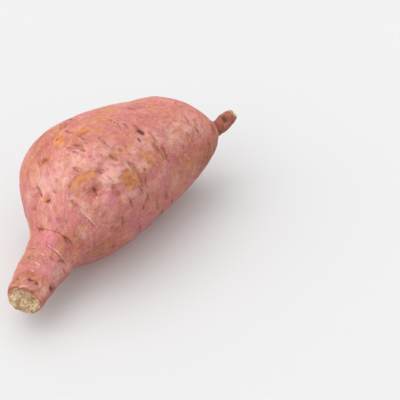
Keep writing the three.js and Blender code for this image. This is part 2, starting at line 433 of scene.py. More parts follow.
# Marks that the photograph shows: the half width and depth of each in mm, then pixels along it.
slots = {
    "pale by the top": (0.95, 0.55, (110.5, 120), (116, 124), (121, 129.5)),
    "beside the pale one": (0.7, 0.4, (124, 123.5), (128, 128)),
    "far top": (0.7, 0.35, (128, 108), (135, 110.5)),
    "top right": (1.1, 0.45, (176.5, 102.5), (180.5, 107)),
    "over the pair": (0.95, 0.45, (149, 132.5), (153, 137), (157.5, 143)),
    "pair left": (1.5, 0.7, (154.5, 144), (158.5, 151), (163.5, 159)),
    "pair right": (1.2, 0.65, (162.5, 147), (165, 153), (169, 162)),
    "right one": (1.1, 0.5, (187, 133), (189, 137), (191.5, 142)),
    "right two": (0.8, 0.45, (197.5, 131), (200.5, 139)),
    "right three": (0.6, 0.3, (194.5, 127), (197, 131)),
    "over the brown rub": (1.1, 0.5, (128, 161), (133, 167), (138.5, 172)),
    "right of the brown rub": (0.8, 0.6, (138.5, 173), (139, 177)),
    "mid left": (0.8, 0.45, (100, 138), (104.5, 143), (108.5, 146.5)),
    "cluster one": (0.6, 0.35, (66, 131.5), (70, 132.5), (74, 132.5)),
    "cluster two": (0.75, 0.5, (74, 144.5), (78, 145.5), (82, 146.5)),
    "cluster three": (0.55, 0.3, (73, 150), (76.5, 151.5)),
    "cluster four": (0.6, 0.35, (81, 149.5), (85, 151)),
    "cluster five": (0.5, 0.3, (82, 140), (87, 143.5)),
    "cluster six": (0.4, 0.2, (67, 148), (71, 149)),
    "pale mid": (0.65, 0.4, (73, 168), (77, 169), (81, 171.5)),
    "left brown": (0.75, 0.6, (36, 187.5), (39, 190.5), (40.6, 195)),
    "over the long scar": (0.8, 0.5, (71, 201.5), (74, 203.5), (77.5, 206.5)),
    "upper left red": (0.6, 0.5, (41, 163), (44, 159)),
    "red mid": (0.7, 0.35, (110, 156), (114, 158.5), (118, 160)),
    "small two": (1.0, 0.5, (144.5, 169), (146, 172.5)),
    "small three": (0.5, 0.3, (202, 125), (202.6, 126.5)),
    "small four": (0.6, 0.35, (208.5, 143), (209.5, 146.5)),
    "small five": (0.55, 0.35, (54, 191.5), (55.5, 193)),
    "small six": (0.4, 0.2, (89.5, 156.5), (91, 158)),
    "in the left rub": (0.35, 0.35, (56.5, 140.5), (59, 139.5), (61.5, 137.5)),
    "faint right": (0.5, 0.2, (185, 117), (190, 124)),
    "faint far right": (0.5, 0.2, (195, 120), (198, 127)),
    "before the dark pit": (0.7, 0.35, (134, 125.5), (138.5, 129.5)),
    "neck low left": (1.25, 0.5, (13, 283), (18, 279.5)),
    "neck's faint one": (0.5, 0.2, (51, 257.5), (53, 260)),
    "neck mark": (0.6, 0.5, (27.5, 256.5), (32.5, 257.5)),
    "foot of the neck": (1.0, 0.45, (64.5, 238), (67, 240), (70.5, 243)),
    "ear": (0.6, 0.4, (32, 209.5), (36.5, 208.5)),
    "right of the fold": (0.5, 0.25, (58.5, 261), (64, 262)),
}
eyes = {
    "round one": (1.2, 0.5, (101.3, 171.5)),
    "round two": (1.3, 0.55, (114.5, 186.5)),
    "round three": (1.2, 0.5, (120, 194)),
    "small one": (0.9, 0.4, (121.3, 149.8)),
    "low": (1.0, 0.4, (113, 228)),
    "neck eye": (1.7, 0.7, (31.5, 280), (35.5, 282)),
}
pits = {
    "dark top": (1.75, 0.8, (140, 130.4), (142.6, 132.2)),
    "dark under it": (0.8, 0.6, (138.7, 139), (140.8, 140.5)),
    "ragged": (0.85, 0.7, (94, 189), (95.6, 191)),
    "ragged low": (0.45, 0.4, (96.3, 193.5), (97, 196)),
    "red dot": (0.4, 0.25, (165.8, 122)),
    "orange rimmed": (1.0, 0.8, (46, 201.4), (48.4, 200.8)),
    "upper left red": (0.5, 0.4, (41.2, 163.5)),
    "left brown": (0.85, 0.5, (40.2, 194.5), (40.8, 196.5)),
    "neck eye left": (0.8, 0.6, (29.5, 278.8), (32.5, 279.8)),
    "neck eye right": (0.8, 0.6, (35.5, 281.2), (38, 283.8)),
    "neck flank": (1.05, 0.9, (50.2, 287.2), (52, 290.5)),
    "fold left": (0.75, 0.7, (37.5, 229.5), (40, 228.6), (43.5, 229.2)),
    "fold right": (0.4, 0.4, (64.5, 237), (66.5, 239)),
    "collar": (0.5, 0.5, (11, 293.5), (13, 294.3)),
    "collar's gap": (0.3, 0.4, (22, 290), (27, 289.5)),
    "tail": (1.9, 0.7, (223, 117), (225.4, 120.2)),
    "tail's ends": (0.7, 0.3, (222.2, 116.2), (224.2, 118.8), (226.8, 122)),
    "foot of the tail": (0.3, 0.3, (215.5, 125.5), (216.5, 128)),
    "beside the brown rub": (0.5, 0.5, (139.3, 174.5)),
}
rubs = {
    "big tan": (2.5, 0.14, (71, 186.5), (78, 182), (86, 177.5), (94, 171.5)),
    "left orange": (3.5, 0.14, (54.5, 145), (57.5, 141.5), (62.5, 136)),
    "far left": (1.3, 0.14, (40.5, 146), (43, 143.5)),
    "top orange": (1.3, 0.16, (78.5, 134), (83, 130.5), (87.5, 127.5)),
    "beside the top orange": (1.2, 0.1, (86, 129), (90, 127)),
    "top dab": (0.7, 0.14, (97.5, 129), (99.5, 130.5), (102, 133)),
    "top right dab": (1.6, 0.1, (98, 120.5), (104, 119), (110, 119)),
    "streak along the top": (0.9, 0.08, (82, 121), (90, 117.5), (98, 113.5), (108, 110), (118, 107)),
    "brown one": (3.2, 0.14, (121, 178), (128, 176), (135, 174)),
    "brown one's foot": (3.0, 0.12, (127, 185), (133, 180)),
    "rough tan": (2.2, 0.14, (139, 154), (146, 154.5), (153, 158)),
    "rough tan's foot": (2.0, 0.12, (144, 158), (150, 162), (156, 162.5)),
    "top dot": (0.8, 0.15, (150, 104), (154.5, 105)),
    "top edge": (1.1, 0.08, (133, 101.5), (141, 100.5)),
    "right dab": (1.2, 0.08, (186, 161.5), (191.5, 159)),
    "rim of the pit": (1.0, 0.1, (44.5, 199), (47, 198), (50, 199.5)),
    "left edge": (0.9, 0.06, (19.8, 165), (19.8, 176)),
    "faint right": (0.8, 0.06, (171, 134), (175, 131), (180, 128.5)),
    "low streak": (0.7, 0.06, (99, 256), (106, 247), (112, 240)),
    "under the left red": (0.9, 0.1, (40.5, 165), (42, 162)),
}
scars = {
    "long": (0.3, 0.4, (72, 208), (83, 213.5), (91, 220), (98.5, 229)),
    "over it": (0.25, 0.3, (96.5, 178.5), (104, 181.5), (111, 185)),
    "ear": (0.35, 0.4, (29, 211), (32, 207), (38, 206.5)),
    "ragged one": (0.3, 0.35, (96, 194.5), (97.5, 198.5), (97, 203)),
    "ragged two": (0.2, 0.25, (92.5, 196), (94.5, 201), (98.5, 206)),
    "fold": (0.35, 0.4, (43.5, 243.5), (51, 247), (58, 252), (63.5, 259), (68, 264.5)),
    "collar": (0.4, 0.55, (12, 292), (17, 288), (24, 286), (31, 288)),
    "cluster one": (0.3, 0.25, (69, 148.5), (77, 150.5), (83, 150)),
    "cluster two": (0.3, 0.25, (78, 138.5), (82, 141), (87, 144)),
    "cluster three": (0.25, 0.2, (62, 150.5), (70, 153), (75, 155)),
    "pale slot": (0.25, 0.1, (111, 120.5), (116, 124.5), (120.5, 129)),
    "mid": (0.25, 0.25, (71, 165), (75, 166.5), (80, 170)),
    "left streak": (0.1, 0.1, (45, 202), (49, 197.5), (52, 194)),
    "top long": (0.1, 0.12, (134, 122), (127, 119), (118, 117)),
    "under the dark pits": (0.12, 0.15, (139, 138), (131, 134), (126, 131)),
    "tail end": (0.1, 0.1, (168, 98.5), (181, 105), (192, 117), (203, 131), (212, 139)),
    "neck one": (0.3, 0.25, (34, 262), (39, 265), (41, 269)),
    "neck two": (0.25, 0.2, (30, 270), (36, 272)),
    "neck eye": (0.25, 0.3, (32, 281.5), (35, 282.5)),
    "in the neck eye": (0.2, 0.3, (31.5, 278.7), (34.5, 279.6)),
    "tail ring": (0.2, 0.2, (212, 124), (215.5, 131), (217, 138)),
    "right of the cluster": (0.15, 0.2, (91, 146.5), (94, 147.5), (98, 150)),
    "over the pale mid": (0.2, 0.2, (64.5, 162.5), (68, 165.5), (72, 168)),
    "by the left orange": (0.1, 0.15, (52.5, 145.5), (56, 140), (61, 134.5)),
    "ragged three": (0.2, 0.3, (97, 188.5), (99, 192), (98.5, 196)),
    "ragged four": (0.15, 0.25, (90, 199), (94, 204.5), (99, 208)),
    "under the fold": (0.2, 0.25, (39, 252.5), (42.5, 254), (45, 255.5)),
    "on the neck flank": (0.15, 0.15, (51.5, 289), (53.5, 291.5)),
    "before the tail": (0.1, 0.15, (208, 125), (210.5, 132), (212, 142)),
}
creases = {
    "foot of the neck": (0.35, 0.6, (33, 230), (42, 229.5), (52, 230.5), (60, 233.5), (68, 240), (74, 246)),
    "under the fold": (0.2, 0.4, (44, 245), (51, 248.5), (57, 253), (62.5, 260), (67, 266)),
    "left of the fold": (0.35, 0.45, (23.5, 249.5), (30, 249), (36, 248.5)),
    "under the long scar": (0.2, 0.3, (80, 213), (86, 218), (92, 224.5), (98, 231)),
    "collar": (0.35, 0.5, (12, 294.5), (18, 290.5), (25, 289), (32, 291.5), (38, 297)),
    "shoulder": (0.05, 0.2, (47, 157), (50, 149), (56, 139), (64, 128), (76, 119)),
    "by the top orange": (0.45, 0.4, (78, 136), (84, 133.5), (90, 130)),
    "by the orange": (0.2, 0.2, (48, 153), (52, 148)),
    "right of the neck": (0.35, 0.45, (55, 288), (58, 294), (59, 298)),
    "right edge of the neck": (0.2, 0.3, (63, 268), (66, 276)),
    "cluster": (0.15, 0.2, (62, 146), (70, 147.5), (78, 148)),
    "cluster two": (0.2, 0.25, (76, 135), (84, 138.5), (92, 141)),
    "left groove": (0.05, 0.15, (30, 160), (36, 150), (44, 141), (55, 132)),
    "under the round pits": (0.15, 0.3, (104, 174), (110, 178), (114, 182)),
    "foot of the tail": (0.1, 0.2, (214, 122), (217.5, 129), (219.5, 135)),
    "over the groove": (0.1, 0.3, (55, 131), (60, 127), (66, 124)),
    "left flank": (0.05, 0.2, (24.5, 201), (28, 199.5), (33, 200)),
    "over the long scar": (0.1, 0.2, (83, 209), (87, 211)),
    "beside ragged four": (0.0, 0.2, (91, 201.5), (95, 206.5), (100, 210)),
    "over the pair": (0.0, 0.2, (146, 131), (149.5, 134)),
    "before the tail": (0.0, 0.15, (209.5, 124), (212, 131), (213.5, 141)),
    "round the tail": (0.05, 0.2, (212.5, 120.5), (216, 127), (218, 136)),
    "tail's second ring": (0.1, 0.2, (219, 118), (222, 124), (223.5, 129)),
}
hollows = {
    "left groove": (2.2, 1.5, (45, 161), (46, 149), (50.5, 139), (58, 130), (67, 123), (76, 117.5)),
    "beside the groove": (2.0, -0.6, (52, 160), (53, 150), (58, 140), (66, 130), (76, 122)),
    "under the long scar": (4.0, 0.5, (80, 217), (90, 227)),
    "ragged pit": (4.6, 1.1, (95, 192)),
    "round pits": (3.2, 1.0, (113, 185), (120, 195)),
    "over the mound": (3.0, 0.8, (101, 172)),
    "dark pit": (2.4, 0.5, (136, 127), (143, 133)),
    "orange pit": (2.4, 0.5, (47, 201)),
    "left brown": (2.6, 0.4, (38, 190), (41, 197)),
    "red mid": (2.6, 0.5, (114, 158)),
    "small one": (2.0, 0.4, (121, 150)),
    "cluster": (2.6, 0.5, (70, 148), (84, 150)),
    "pale mid": (2.2, 0.4, (71, 168), (82, 172)),
    "pair": (3.2, 0.5, (158, 148), (167, 158)),
    "upper left red": (2.4, 0.8, (39, 166), (45, 157)),
    "bright mound": (5.0, -1.1, (116, 172), (119, 176)),
    "second mound": (6.0, -0.6, (96, 158), (103, 155)),
    "low mound": (6.0, -1.0, (108, 202), (112, 212)),
    "mound by the rub": (4.0, -0.4, (88, 205)),
    "left mound": (6.0, -0.5, (62, 165), (64, 182)),
    "pillow": (3.6, -0.9, (38, 238), (56, 240)),
    "neck bulge": (5.0, -0.4, (40, 262), (48, 270)),
    "neck lump": (4.0, -0.35, (45, 285)),
    "above the collar": (2.0, -0.4, (14, 291), (22, 287)),
    "tail knob": (1.6, -0.3, (226, 113), (230, 115)),
    "tail's flare": (2.2, -0.9, (211.5, 121.5), (215.5, 128.5), (218, 137)),
}
for table, make in ((hollows, pressSkin), (slots, cutSlot), (eyes, sinkEye), (pits, sinkPit),
                    (rubs, rubSkin), (scars, raiseScar), (creases, foldSkin)):
    for wide, deep, *pixels in table.values():
        line = lineOverSkin(pixels)
        if len(line):
            make(line, wide, deep)
print("marks of the photographed side made")


# Marks of the same kinds where the photograph doesn't reach: under, behind and low in front.
unseenSettings = {
    "seed": 5,
    "endKeep": 14,              # mm by the cut ends that stay clear
    # Lengths and half widths in mm. The depth is in mm, or for slots, pits and eyes a share of the width.
    "hollows": {"count": 22, "length": (0.5, 8), "slant": 1.5, "wide": (2.4, 5.5), "deep": (-0.6, 0.7)},
    "slots": {"count": 50, "length": (2.2, 8), "slant": 0.25, "wide": (0.4, 1.05), "deep": 0.5},
    "pits": {"count": 9, "length": (0.2, 2.5), "slant": 1.5, "wide": (0.5, 0.9), "deep": 0.9},
    "eyes": {"count": 12, "length": (0.2, 1.5), "slant": 1.5, "wide": (0.8, 1.3), "deep": 0.45},
    "rubs": {"count": 13, "length": (4, 16), "slant": 0.5, "wide": (0.8, 2.8), "deep": 0.12},
    "scars": {"count": 10, "length": (6, 22), "slant": 0.6, "wide": (0.15, 0.3), "deep": 0.3},
}
wrinkleSettings = {"seed": 9, "creases": 60, "scars": 110, "length": (1.8, 7), "slant": 0.5,
                   "wide": (-0.2, 0.06), "deep": 0.16}


def skinAt(row, turn):
    # A point of the grid between its rows and turns.
    r = min(max(row, 0), rowCount - 1.001)
    i, k = int(r), int(math.floor(turn))
    s, t = r - i, turn - math.floor(turn)
    near = form["grid"][i, k % around] * (1 - t) + form["grid"][i, (k + 1) % around] * t
    far = form["grid"][i + 1, k % around] * (1 - t) + form["grid"][i + 1, (k + 1) % around] * t
    return near * (1 - s) + far * s


def strayLine(rng, length, slant, across=True, anywhere=False):
    # A slightly bent line over the skin, across the root or along it, away from the photographed side
    # unless it may be anywhere, and less often where the root is thin.
    rows = np.arange(form["first"], form["last"])
    girth = np.linalg.norm(np.diff(form["grid"], axis=1), axis=2).sum(1)
    keep = unseenSettings["endKeep"]
    while True:
        row = float(np.interp(rng.uniform(keep, form["length"] - keep), form["place"][rows, 0, 0], rows))
        turn = rng.uniform(0, around)
        thick = girth[int(row)] / girth.max()
        if (anywhere or unseen[int(row) * around + int(turn)]) and rng.uniform() < thick:
            break
    mmPerTurn = girth[int(row)] / around
    mmPerRow = np.linalg.norm(form["grid"][int(row) + 1, int(turn)] - form["grid"][int(row), int(turn)])
    angle = rng.normal(0, slant) + (math.pi / 2 if across else 0)
    bend = rng.normal(0, 0.08) * length
    line = []
    for s in np.linspace(-0.5, 0.5, 5):
        alongBy = s * length * math.cos(angle) - bend * (4 * s * s - 1) * math.sin(angle)
        aroundBy = s * length * math.sin(angle) + bend * (4 * s * s - 1) * math.cos(angle)
        line.append(skinAt(row + alongBy / mmPerRow, turn + aroundBy / mmPerTurn))
    return np.array(line)


def addUnseenMarks(settings):
    rng = np.random.default_rng(settings["seed"])
    hollow, slot = settings["hollows"], settings["slots"]
    for _ in range(hollow["count"]):
        line = strayLine(rng, rng.uniform(*hollow["length"]), hollow["slant"])
        pressSkin(line, rng.uniform(*hollow["wide"]), rng.uniform(*hollow["deep"]))
    for _ in range(slot["count"]):
        line = strayLine(rng, rng.uniform(*slot["length"]), slot["slant"])
        wide = rng.uniform(*slot["wide"])
        cutSlot(line, wide, slot["deep"] * wide)
    for name, make in (("pits", sinkPit), ("eyes", sinkEye), ("rubs", rubSkin), ("scars", raiseScar)):
        kind = settings[name]
        for _ in range(kind["count"]):
            wide = rng.uniform(*kind["wide"])
            line = strayLine(rng, rng.uniform(*kind["length"]), kind["slant"], across=name != "rubs")
            make(line, wide, kind["deep"] * (wide if name in ("pits", "eyes") else 1))


def addWrinkles(settings):
    # Short faint lines all over, dark or pale.
    rng = np.random.default_rng(settings["seed"])
    for kind, make in (("creases", foldSkin), ("scars", raiseScar)):
        for _ in range(settings[kind]):
            line = strayLine(rng, rng.uniform(*settings["length"]), settings["slant"], anywhere=True)
            make(line, rng.uniform(*settings["wide"]), settings["deep"])


addWrinkles(wrinkleSettings)
addUnseenMarks(unseenSettings)
print("marks of the unseen side made")


# Tones of the skin, partly painted highlight and painted shade: soft areas by the part of the root, each
# with its pixel, radius in mm and strength.
tones = {
    # Pale: paler skin, and also painted highlight on the mounds, the left flank and the top that face the
    # light, and at the upper right.
    "pale": {
        "top": [(122, 103, 8, 0.5), (186, 116, 8, 0.35), (192, 125, 5, 0.5)],
        "left flank": [(45, 186, 11, 1.0), (31, 196, 6, 0.6), (56, 222, 7, 0.5), (45, 216, 5, 0.6),
                       (33, 181, 5, 0.7)],
        "left middle": [(62, 168, 7, 0.6), (75, 159, 5, 0.7), (88, 165, 5, 0.9), (87, 194, 4, 0.6),
                        (62, 180, 6, 0.9), (82, 152, 4, 0.6), (91, 184, 3, 0.9)],
        "middle": [(100, 158, 7, 0.8), (119, 172, 5, 1.0), (143, 146, 7, 0.75), (146, 164, 4, 1.1),
                   (111, 178, 7, 1.4), (126, 158, 4, 0.6), (139, 169, 5, 0.9), (134, 151, 4, 0.8),
                   (112, 146, 5, 0.8), (157, 139, 4, 0.9), (151, 133, 4, 0.7), (115, 163, 4, 0.8),
                   (129, 166, 4, 1.0)],
        "tail end": [(177, 136, 11, 0.95), (186, 131, 5, 1.2), (183, 138, 4, 0.7), (200, 132, 8, 0.6)],
        "front": [(108, 199, 6, 0.4), (84, 236, 5, 1.1), (94, 214, 4, 0.6), (88, 217, 4, 1.1),
                  (100, 216, 4, 0.7), (90, 247, 4, 0.8), (69, 197, 5, 0.6), (105, 218, 5, 0.4),
                  (84, 207, 4, 1.1), (127, 196, 4, 0.6)],
        "neck": [(57, 274, 5, 1.2), (65, 268, 4, 0.8), (42, 265, 4, 0.8)],
        "crown": [(43, 289, 4, 1.2)],
    },
    "rosy": {
        "top": [(138, 118, 9, 0.4)],
        "left flank": [(46, 238, 6, 1.0), (30, 216, 7, 0.5)],
        "left middle": [(89, 151, 4, 0.9), (82, 155, 6, 0.5)],
        "middle": [(107, 188, 5, 1.1), (121, 172, 4, 1.2), (104, 189, 4, 0.6), (125, 152, 5, 0.4)],
        "tail end": [(178, 148, 4, 1.1)],
        "front": [(111, 200, 6, 1.4), (60, 213, 8, 0.7), (96, 232, 7, 0.6)],
        "neck": [(40, 248, 6, 1.2), (44, 269, 5, 1.3), (55, 272, 6, 1.2), (29, 262, 7, 0.8)],
        "crown": [(58, 292, 4, 0.7), (24, 283, 6, 0.6)],
    },
    # Brown: browner skin and the brown tail, and also painted shade on the lower right side, on the tail's
    # lower side, low at the front and in the shoulder's groove.
    "brown": {
        "top": [(66, 124, 6, 0.7), (140, 106, 6, 0.5), (152, 118, 7, 0.35)],
        "left flank": [(40, 147, 8, 1.1), (52, 138, 5, 0.8), (43, 161, 5, 0.9), (48, 214, 5, 0.4),
                       (41, 231, 4, 0.9), (31, 224, 5, 0.9), (37, 196, 3.5, 0.8), (42, 136, 6, 1.3),
                       (50, 131, 4, 0.7), (24, 228, 5, 0.4)],
        "left middle": [(95, 192, 5, 0.9), (80, 147, 4, 0.4), (68, 155, 4, 0.6), (75, 140, 6, 0.55)],
        "middle": [(116, 191, 4, 0.5), (114, 157, 3, 0.5), (141, 181, 6, 0.6)],
        "tail end": [(214, 151, 7, 1.8), (202, 146, 5, 0.5), (190, 152, 13, 0.7), (207, 158, 10, 1.6),
                     (178, 160, 8, 0.7)],
        "tail": [(214, 129, 3.5, 1.5), (226, 119, 5, 2.6), (224, 118, 2.5, 3.2)],
        "front": [(96, 216, 5, 0.5), (62, 221, 4, 0.7), (78, 240, 9, 0.8), (95, 248, 10, 0.7),
                  (118, 230, 7, 0.5), (84, 226, 6, 0.5)],
        "neck": [(38, 256, 5, 0.7), (30, 241, 5, 0.8), (24, 277, 8, 1.15), (31, 254, 7, 1.3),
                 (34, 251, 5, 1.6)],
        "crown": [(34, 281, 5, 0.8), (52, 290, 3, 0.8), (14, 287, 4, 0.6)],
    },
    "warm": {
        "top": [(110, 112, 7, 0.7), (86, 122, 6, 0.6), (168, 118, 8, 0.6), (187, 105, 6, 0.6),
                (102, 108, 6, 0.9), (104, 119, 4, 1.2), (152, 104.5, 3, 1.4), (138, 102, 5, 0.6),
                (143, 121, 4, 0.6)],
        "left flank": [(56, 130, 8, 0.9), (28, 170, 9, 0.7), (21, 170, 4, 0.6), (36, 214, 4, 0.7),
                       (58, 140, 5, 1.4), (42, 144, 3, 1.4), (47, 199, 2.5, 1.6)],
        "left middle": [(83, 130.5, 5, 1.6), (99.5, 130.5, 3, 1.3), (75, 141, 4, 0.7)],
        "middle": [(129, 180, 5, 1.0), (150, 158, 7, 0.5), (131, 184, 3.5, 1.3)],
        "tail end": [(188, 160, 6, 0.5), (180, 131, 6, 0.5)],
        "tail": [(205, 137, 4, 0.6)],
        "front": [(120, 205, 6, 0.4), (108, 212, 5, 0.5), (88, 204, 4, 0.5), (105, 248, 6, 0.5)],
    },
    "tan": {
        "top": [(73, 119, 5, 0.8), (102, 111, 5, 0.7)],
        "left flank": [(18, 190, 4, 0.5)],
        "left middle": [(73, 188, 5, 1.0)],
        "tail": [(205, 135, 5, 0.4), (219, 124, 3, 0.6)],
        "neck": [(22, 268, 5, 1.0), (28, 256, 7, 1.5), (43, 261, 4, 1.0), (66, 258, 5, 0.5)],
        "crown": [(30, 284, 7, 1.1), (16, 289, 4, 0.9), (38, 293, 4, 0.9)],
    },
}
toneSettings = {
    "stray": {"pale": 0.55, "rosy": 0.6, "brown": 0.6, "warm": 0.4, "tan": 0.5},    # where nothing is seen
    "straySize": 19,            # mm
    "straySeed": 41,
    "straySoften": 4,           # rows
    "straySeen": 0.25,          # the share of it that also falls on the side in the photograph
    "tailLength": 19,           # mm from the tip that are brown all round
    "tailBrown": 1.9,
}


def addTones(settings):
    painted = {}
    for seed, (kind, areas) in enumerate(tones.items()):
        clouds = layeredNoise(grown, settings["straySize"], settings["straySeed"] + 4 * seed, 2)
        tone = settings["stray"][kind] * smoothStep(0.05, 0.75, clouds)
        tone = tone * np.where(unseen, 1, settings["straySeen"])
        tone = soften(tone.reshape(rowCount, around), settings["straySoften"]).ravel()
        for u, v, wide, strength in sum(areas.values(), []):
            centre = skinAtPixel(u, v)
            if centre is not None:
                tone = np.maximum(tone, strength * bell(np.linalg.norm(points - centre, axis=1), wide))
        painted[kind] = tone
    fromTip = form["length"] - grown[:, 0]
    tail = 1 - smoothStep(settings["tailLength"] * 0.7, settings["tailLength"] * 1.15, fromTip)
    painted["brown"] = np.maximum(painted["brown"], settings["tailBrown"] * tail)
    painted["pale"] *= 1 - tail
    return painted


painted = addTones(toneSettings)
print("tones made")


# Fine relief all over: wrinkles round the neck and the tail, low lumps on the belly, and cork on the cuts.
reliefSettings = {
    "neckEnd": 45,              # mm from the crown where the neck's wrinkles fade
    "tailStart": 17,            # mm from the tip where the tail's begin
    "neckShare": 0.7,           # how strong the neck's are against the tail's
    "wrinkles": 0.32,           # mm high, and their size along the root and across it
    "wrinkleSize": (1.5, 9, 9),
    "lumps": 0.22,
    "lumpSize": 7,
    "grain": 0.05,
    "grainSize": (2.4, 1.2, 1.2),
    "rimRough": 0.45,
    "rimSize": 3.4,
    "rimReach": 5,              # mm from the crown's rim
    "seed": 21,
}
corkSettings = {
    # mm; the edge and its softness are shares of the cut end's radius
    "crown": {"seed": 3, "lumps": 70, "size": (1.3, 2.9), "height": 0.42, "grain": 0.12, "edge": 0.93,
              "shift": (0, -1.5, -1.3)},
    "tail": {"seed": 4, "lumps": 30, "size": (0.7, 1.4), "height": 0.2, "grain": 0.06, "edge": 1.36,
             "shift": (0, 0, 0.3)},
    "edgeSoft": 0.07, "edgeUneven": 0.14, "edgeSize": 3.2, "grainSize": 0.9,
}


def addFineRelief(settings):
    fromCrown = grown[:, 0]
    fromTip = form["length"] - grown[:, 0]
    neck = 1 - smoothStep(settings["neckEnd"] * 0.6, settings["neckEnd"], fromCrown)
    tail = 1 - smoothStep(settings["tailStart"] * 0.7, settings["tailStart"], fromTip)
    wrinkled = np.maximum(neck * settings["neckShare"], tail)
    seed = settings["seed"]
    relief[:] += settings["wrinkles"] * wrinkled * layeredNoise(grown, settings["wrinkleSize"], seed, 2)
    relief[:] += settings["lumps"] * layeredNoise(grown, settings["lumpSize"], seed + 3, 2)
    relief[:] += settings["grain"] * softNoise(grown, settings["grainSize"], seed + 6)
    byRim = 1 - smoothStep(0, settings["rimReach"], fromCrown)
    relief[:] += settings["rimRough"] * byRim * layeredNoise(points, settings["rimSize"], seed + 12, 2)


def addCork(end, rows, settings):
    # Rounded cork lumps over a cut end. Says how much each point is cork, and how deep between lumps, where
    # shade is painted.
    rng = np.random.default_rng(end["seed"])
    rings = form["grid"][rows]
    centre = rings[0].mean(0)
    radius = np.linalg.norm(rings[-1] - centre, axis=1).mean()
    near = np.linalg.norm(points - centre, axis=1) < radius * 1.6
    here = points[near]
    count = end["lumps"]
    outBy = (np.sqrt(rng.uniform(0, 1, count)) * (len(rings) - 1)).astype(int)
    middles = rings[outBy, rng.integers(0, around, count)]
    sizes = rng.uniform(*end["size"], count)
    reach = np.linalg.norm(here[:, None] - middles[None], axis=2) / sizes
    dome = (np.sqrt(np.clip(1 - reach ** 2, 0, 1)) * sizes).max(1) / end["size"][1]
    share = np.linalg.norm(here - centre - np.array(end["shift"]), axis=1) / radius
    edge = end["edge"] + settings["edgeUneven"] * layeredNoise(here, settings["edgeSize"], 61, 2)
    cork = 1 - smoothStep(edge - settings["edgeSoft"], edge + settings["edgeSoft"], share)
    grain = end["grain"] * layeredNoise(here, settings["grainSize"], 64, 2)
    relief[near] += cork * (end["height"] * (2.2 * dome - 1) + grain)
    onCut[near] = np.maximum(onCut[near], cork)
    hollow[near] = np.maximum(hollow[near], cork * (1 - smoothStep(0, 0.3, dome)))


addFineRelief(reliefSettings)
onCut = np.zeros(len(points))
hollow = np.zeros(len(points))
addCork(corkSettings["crown"], slice(0, form["first"] + 1), corkSettings)
addCork(corkSettings["tail"], slice(rowCount - 1, form["last"] - 1, -1), corkSettings)


# The skin's mesh: the grid pushed out by its relief, kept off the floor, closed by a fan at each pole.
def onMap(row, k):
    # The flat map: round the root across it, and along the root up it, with room for the poles' fans.
    return k / around, 0.01 + 0.98 * row / (rowCount - 1)


def buildSkin():
    skin = points + normals * relief[:, None]
    skin[:, 2] = np.maximum(skin[:, 2], 0.0)
    poles = [skin[:around].mean(0), skin[-around:].mean(0)]
    vertices = np.vstack([skin, poles]) * mm
    crownPole, tailPole = len(skin), len(skin) + 1
    lastRow = rowCount - 1
    faces = []
    corners = []                # where each corner lies on the flat map
    for k in range(around):
        n = (k + 1) % around
        faces += [(crownPole, n, k), (tailPole, lastRow * around + k, lastRow * around + n)]
        corners += [((k + 0.5) / around, 0), onMap(0, k + 1), onMap(0, k)]
        corners += [((k + 0.5) / around, 1), onMap(lastRow, k), onMap(lastRow, k + 1)]
    for row in range(lastRow):
        for k in range(around):
            corners += [onMap(row, k), onMap(row, k + 1), onMap(row + 1, k + 1), onMap(row + 1, k)]
    mesh = bpy.data.meshes.new("sweet_potato_skin")
    mesh.from_pydata(vertices.tolist(), [], faces + quads)
    flatMap = mesh.uv_layers.new(name="OFBake")
    flatMap.data.foreach_set("uv", np.array(corners, dtype=np.float32).ravel())
    mesh.polygons.foreach_set("use_smooth", [True] * len(mesh.polygons))
    piece = bpy.data.objects.new("sweet_potato_skin", mesh)
    bpy.context.scene.collection.objects.link(piece)
    return piece


def withPoles(values):
    return np.concatenate([values, [values[0], values[-1]]]).astype(np.float32)


def storeOnSkin(piece, stored):
    # Puts what the finish reads at each point on the mesh, with the point's place on the root.
    for name, values in stored.items():
        layer = piece.data.attributes.new(name, "FLOAT", "POINT")
        layer.data.foreach_set("value", withPoles(values))
    poles = [(0, 0, 0), (form["length"], 0, 0)]
    layer = piece.data.attributes.new("grownPlace", "FLOAT_VECTOR", "POINT")
    layer.data.foreach_set("vector", np.vstack([grown, poles]).astype(np.float32).ravel())


skin = buildSkin()
storedValues = dict(edges, **painted, cutEnd=onCut, hollow=hollow)
storeOnSkin(skin, storedValues)
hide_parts("sweet_potato")
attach(skin, "root")
print("skin built:", sum(len(p.vertices) - 2 for p in skin.data.polygons), "triangles")


# Finish: a socket wrapped so that maths on it adds its own nodes.
class Value:
    def __init__(self, maker, socket):
        self.maker = maker
        self.socket = socket

    def math(self, operation, *others):
        return self.maker.add("ShaderNodeMath", {"operation": operation}, self, *others)

    def __add__(self, other):
        return self.math("ADD", other)

    def __sub__(self, other):
        return self.math("SUBTRACT", other)

    def __rsub__(self, other):
        return self.maker.add("ShaderNodeMath", {"operation": "SUBTRACT"}, other, self)

    def __mul__(self, other):
        return self.math("MULTIPLY", other)

    __radd__ = __add__
    __rmul__ = __mul__


